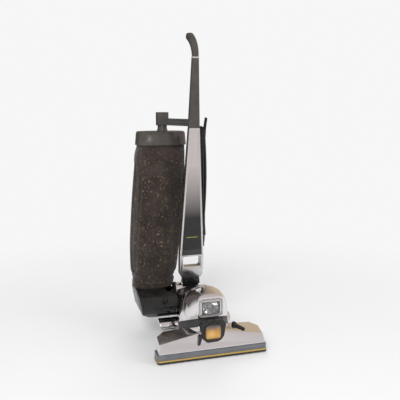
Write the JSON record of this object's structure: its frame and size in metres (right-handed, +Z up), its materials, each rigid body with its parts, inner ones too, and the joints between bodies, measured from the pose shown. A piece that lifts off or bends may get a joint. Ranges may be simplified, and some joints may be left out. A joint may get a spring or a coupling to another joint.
{
  "type": "upright vacuum cleaner",
  "caption": "Upright vacuum cleaner with a polished floor nozzle, a headlight hood over the fan, a reclining metal handle, a cloth dust bag hung at its side and a mains cord wound on hooks.",
  "frame": {"origin": "centre of the sole plate's floor face, with the machine standing on its sole plate and rear wheels", "axes": "+X to the machine's left as its user sees it (right in a front view), +Y back towards the user, +Z up"},
  "size_m": [0.4079, 0.465, 1.0823],
  "materials": {
    "polished_aluminium": "polished casting",
    "handle_aluminium": "satin polished",
    "cast_aluminium": "as cast",
    "black_plastic": "moulded, semi-gloss",
    "dark_plastic": "moulded, matt",
    "bumper_vinyl": "soft vinyl",
    "gold_stripe": "metallic",
    "sole_paint": "black painted pressed steel",
    "roll_wood": "lacquered dowel",
    "bristle": "nylon tufts",
    "belt_rubber": "flat belt",
    "amber_window": "clear amber",
    "lens_clear": "clear fluted",
    "chrome_trim": "bright",
    "steel": "ground",
    "winding": "laminations and copper winding",
    "lamination": "stamped laminations",
    "fan_plastic": "moulded impact plastic",
    "carbon": "carbon",
    "bulb_glass": "clear",
    "tyre_rubber": "ribbed",
    "panel_print": "foil panel, fading from silver to black",
    "collar_grey": "satin",
    "wire_sheath": "insulation",
    "bag_cloth": "woven, dark with gold flecks",
    "bag_paper": "brown filter paper",
    "cord_rubber": "round rubber sheath"
  },
  "bodies": {
    "power_unit": {"nozzle_housing": "polished_aluminium", "bumper_strip": "bumper_vinyl", "bumper_stripe": "gold_stripe", "sole_plate": "sole_paint", "roll_end_caps": "dark_plastic", "drive_belt": "belt_rubber", "lifter_bezel": "black_plastic", "fan_housing": "polished_aluminium", "fan_backplate": "cast_aluminium", "stator": "lamination", "shaft_bearings": "steel", "carbon_brushes": "carbon", "body_band": "bumper_vinyl", "hood": "polished_aluminium", "chassis": "polished_aluminium", "motor_cover": "black_plastic", "gearbox": "cast_aluminium", "rear_fenders": "polished_aluminium", "exhaust_duct": "polished_aluminium", "handle_pin": "steel"},
    "rotor": {"armature": "winding", "fan": "fan_plastic"},
    "brush": {"brush_roll": "roll_wood", "brush_tufts": "bristle"},
    "belt_lifter": {"lifter_knob": "black_plastic", "lifter_window": "amber_window"},
    "lock_lever": {"nozzle_lock": "black_plastic"},
    "light_cap": {"headlight_cap": "polished_aluminium", "headlight_lens": "lens_clear", "headlight_reflector": "chrome_trim", "headlight_bulb": "bulb_glass", "cap_knob": "chrome_trim"},
    "drive_wheels": {"rear_axle": "steel", "rear_wheels": "tyre_rubber"},
    "carriage": {"wheel_carriage": "cast_aluminium"},
    "carriage_wheels": {"front_wheels": "tyre_rubber"},
    "height_toe": {"height_pedal": "dark_plastic"},
    "drive_toe": {"drive_pedal": "dark_plastic"},
    "handle": {"handle_neck": "black_plastic", "handle_frame": "handle_aluminium", "handle_panel": "panel_print", "handle_back": "black_plastic", "handle_wire": "wire_sheath", "upper_handle": "black_plastic", "grip_collar": "collar_grey", "grip": "black_plastic", "bag_arm": "black_plastic", "lower_cord_hook": "black_plastic", "cord_relief": "dark_plastic", "cord_lead": "cord_rubber", "cord_hank": "cord_rubber", "cord_tail": "cord_rubber", "cord_plug": "dark_plastic"},
    "switch_rocker": {"power_switch": "dark_plastic"},
    "quick_hook": {"upper_cord_hook": "black_plastic"},
    "bag": {"emptor": "black_plastic", "bag_cloth": "bag_cloth", "paper_bag": "bag_paper", "bag_cap": "black_plastic"},
    "lid_knob": {"emptor_knob": "black_plastic"}
  },
  "joints": [
    {"name": "rotor_spin", "type": "hinge", "parent": "power_unit", "child": "rotor", "pos_m": [0, 0.1, 0.092], "axis": [0, 1, 0], "continuous": true},
    {"name": "brush_spin", "type": "hinge", "parent": "power_unit", "child": "brush", "pos_m": [0, 0.001, 0.026], "axis": [1, 0, 0], "continuous": true},
    {"name": "lifter_turn", "type": "hinge", "parent": "power_unit", "child": "belt_lifter", "pos_m": [0, -0.03, 0.092], "axis": [0, 1, 0], "range_deg": [0, 180]},
    {"name": "lock_swing", "type": "hinge", "parent": "power_unit", "child": "lock_lever", "pos_m": [0.092, 0.022, 0.0857], "axis": [0.1189, -0.2753, 0.954], "range_deg": [0, 90]},
    {"name": "cap_hinge", "type": "hinge", "parent": "power_unit", "child": "light_cap", "pos_m": [0, 0.096, 0.21], "axis": [-1, 0, 0], "range_deg": [0, 38]},
    {"name": "rear_axle_spin", "type": "hinge", "parent": "power_unit", "child": "drive_wheels", "pos_m": [0, 0.205, 0.028], "axis": [1, 0, 0], "continuous": true},
    {"name": "carriage_swing", "type": "hinge", "parent": "power_unit", "child": "carriage", "pos_m": [0, 0.168, 0.026], "axis": [1, 0, 0], "range_deg": [0, 8]},
    {"name": "front_wheel_spin", "type": "hinge", "parent": "carriage", "child": "carriage_wheels", "pos_m": [0, 0.128, 0.016], "axis": [1, 0, 0], "continuous": true},
    {"name": "height_press", "type": "hinge", "parent": "power_unit", "child": "height_toe", "pos_m": [0.038, 0.242, 0.035], "axis": [-1, 0, 0], "range_deg": [0, 9], "stiffness_Nm_per_rad": 6, "springref_deg": -2.86},
    {"name": "drive_press", "type": "hinge", "parent": "power_unit", "child": "drive_toe", "pos_m": [-0.038, 0.242, 0.035], "axis": [-1, 0, 0], "range_deg": [0, 9], "stiffness_Nm_per_rad": 6, "springref_deg": -2.86},
    {"name": "handle_tilt", "type": "hinge", "parent": "power_unit", "child": "handle", "pos_m": [0, 0.254, 0.15], "axis": [-1, 0, 0], "range_deg": [0, 65]},
    {"name": "switch_rock", "type": "hinge", "parent": "handle", "child": "switch_rocker", "pos_m": [0, 0.19186, 0.94059], "axis": [1, 0, 0], "range_deg": [0, 14]},
    {"name": "quick_hook_turn", "type": "hinge", "parent": "handle", "child": "quick_hook", "pos_m": [0.03, 0.25079, 0.72591], "axis": [1, 0, 0], "range_deg": [0, 180]},
    {"name": "bag_swivel", "type": "hinge", "parent": "power_unit", "child": "bag", "pos_m": [0, 0.254, 0.15], "axis": [-1, 0, 0], "range_deg": [0, 65]},
    {"name": "lid_knob_turn", "type": "hinge", "parent": "bag", "child": "lid_knob", "pos_m": [-0.112, 0.18501, 0.13369], "axis": [0, -0.6442, 0.7649], "range_deg": [0, 90]}
  ],
  "couplings": [
    {"joint": "brush_spin", "follows": "rotor_spin", "ratio": -0.66},
    {"joint": "bag_swivel", "follows": "handle_tilt", "ratio": 1}
  ]
}
